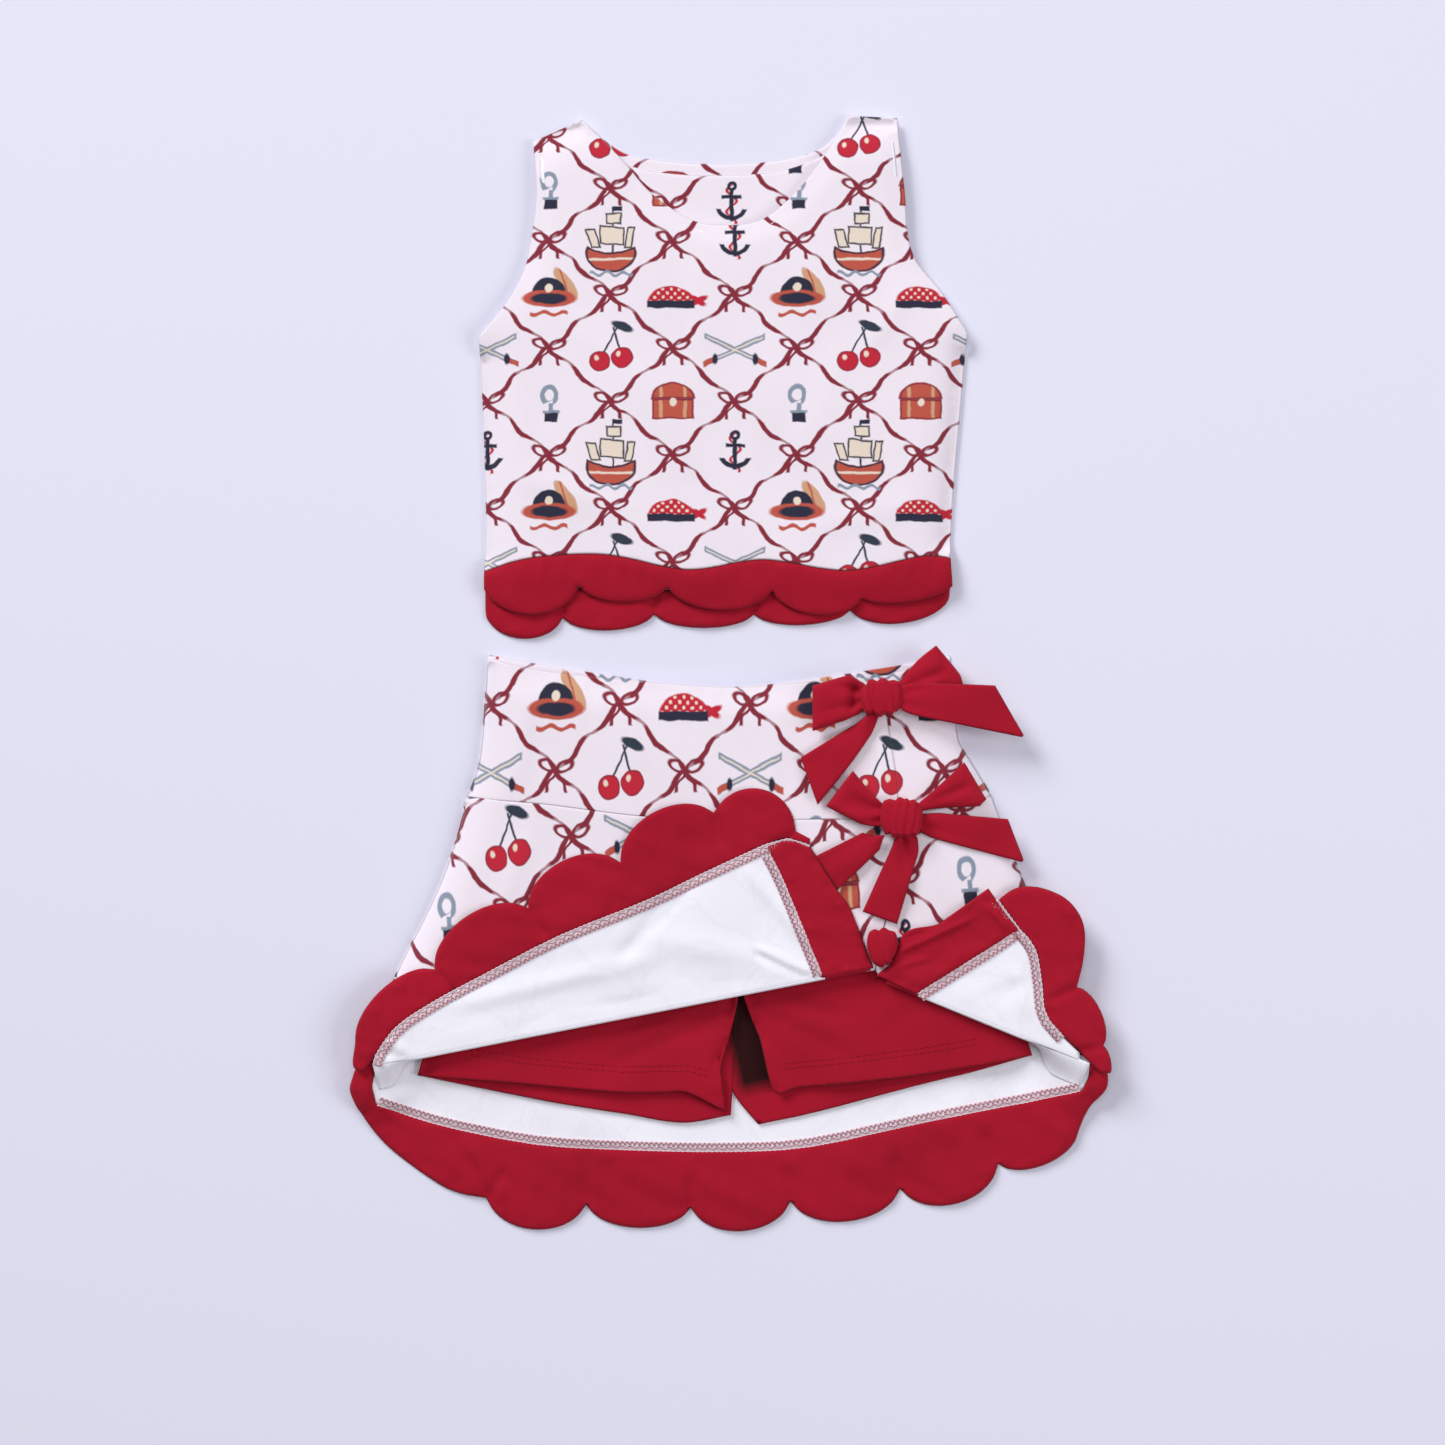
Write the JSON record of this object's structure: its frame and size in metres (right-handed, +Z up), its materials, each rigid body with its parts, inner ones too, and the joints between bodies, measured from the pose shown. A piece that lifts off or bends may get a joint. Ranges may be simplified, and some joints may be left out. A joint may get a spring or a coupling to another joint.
{
  "type": "cheer uniform",
  "caption": "Child's sleeveless printed top and tie-side skort with scalloped red hems, laid flat with the skirt's front hem folded up over built-in shorts.",
  "frame": {"origin": "centre of the set's box, on the surface that it lies on", "axes": "+X across the garments to the tied side, +Y from the skirt hem to the shoulders, +Z up from the surface"},
  "size_m": [0.458, 0.6704, 0.024],
  "materials": {
    "print_fabric": "soft brushed stretch jersey with an allover print",
    "red_jersey": "fine matt stretch jersey",
    "white_lining": "unprinted inside of the jersey",
    "overlock_thread": "looped overlock thread",
    "waist_elastic": "woven elastic"
  },
  "bodies": {
    "skirt": {"front_yoke": "print_fabric", "side_yoke": "print_fabric", "back_yoke": "print_fabric", "front_waist_facing": "print_fabric", "side_waist_facing": "print_fabric", "back_waist_facing": "print_fabric", "waist_elastic": "waist_elastic", "front_yoke_overlock": "overlock_thread", "back_yoke_overlock": "overlock_thread", "front_skirt_panel": "print_fabric", "side_skirt_panel": "print_fabric", "back_skirt_panel": "print_fabric", "back_hem_band": "red_jersey", "back_hem_overlock": "overlock_thread", "skirt_left_side_seam": "print_fabric", "skirt_right_side_seam": "print_fabric", "shorts_left_front": "red_jersey", "shorts_right_front": "red_jersey", "shorts_left_back": "red_jersey", "shorts_right_back": "red_jersey", "shorts_left_outseam": "red_jersey", "shorts_right_outseam": "red_jersey", "shorts_left_inseam": "red_jersey", "shorts_right_inseam": "red_jersey", "upper_bow_knot": "red_jersey", "upper_bow_left_loop": "red_jersey", "upper_bow_right_loop": "red_jersey", "upper_bow_left_tail": "red_jersey", "middle_bow_knot": "red_jersey", "middle_bow_left_loop": "red_jersey", "middle_bow_right_loop": "red_jersey", "middle_bow_left_tail": "red_jersey", "middle_bow_lower_tail": "red_jersey", "lower_bow_knot": "red_jersey"},
    "top": {"top_front_panel": "print_fabric", "top_back_panel": "print_fabric", "top_front_hem_band": "red_jersey", "top_back_hem_band": "red_jersey", "front_neck_facing": "print_fabric", "back_neck_facing": "print_fabric", "left_shoulder_seam": "print_fabric", "right_shoulder_seam": "print_fabric", "top_left_side_seam": "print_fabric", "top_right_side_seam": "print_fabric", "top_front_hem_overlock": "overlock_thread", "top_back_hem_overlock": "overlock_thread"},
    "front_flap": {"front_flap_panel": "white_lining", "front_flap_hem_band": "red_jersey", "front_flap_slit_band": "red_jersey", "front_flap_hem_overlock": "overlock_thread", "front_flap_slit_overlock": "overlock_thread"},
    "side_flap": {"side_flap_panel": "white_lining", "side_flap_hem_band": "red_jersey", "side_flap_slit_band": "red_jersey", "side_flap_hem_overlock": "overlock_thread", "side_flap_slit_overlock": "overlock_thread"},
    "upper_tail": {"upper_bow_right_tail": "red_jersey"},
    "middle_tail": {"middle_bow_right_tail": "red_jersey"}
  },
  "joints": [
    {"name": "top_lift", "type": "slide", "parent": "skirt", "child": "top", "axis": [0, 0, 1], "range_m": [0, 0.15]},
    {"name": "front_flap_fold", "type": "hinge", "parent": "skirt", "child": "front_flap", "pos_m": [-0.215, -0.23627, 0.0132], "axis": [0.9813, 0.1927, 0], "range_deg": [0, 180]},
    {"name": "side_flap_fold", "type": "hinge", "parent": "skirt", "child": "side_flap", "pos_m": [0.088, -0.18277, 0.0132], "axis": [0.9255, -0.3786, 0], "range_deg": [0, 180]},
    {"name": "upper_tail_lift", "type": "hinge", "parent": "skirt", "child": "upper_tail", "pos_m": [0.106, -0.01527, 0.0187], "axis": [0, -1, 0], "range_deg": [0, 80]},
    {"name": "middle_tail_lift", "type": "hinge", "parent": "skirt", "child": "middle_tail", "pos_m": [0.1173, -0.09027, 0.0124], "axis": [0, -1, 0], "range_deg": [0, 80]}
  ]
}
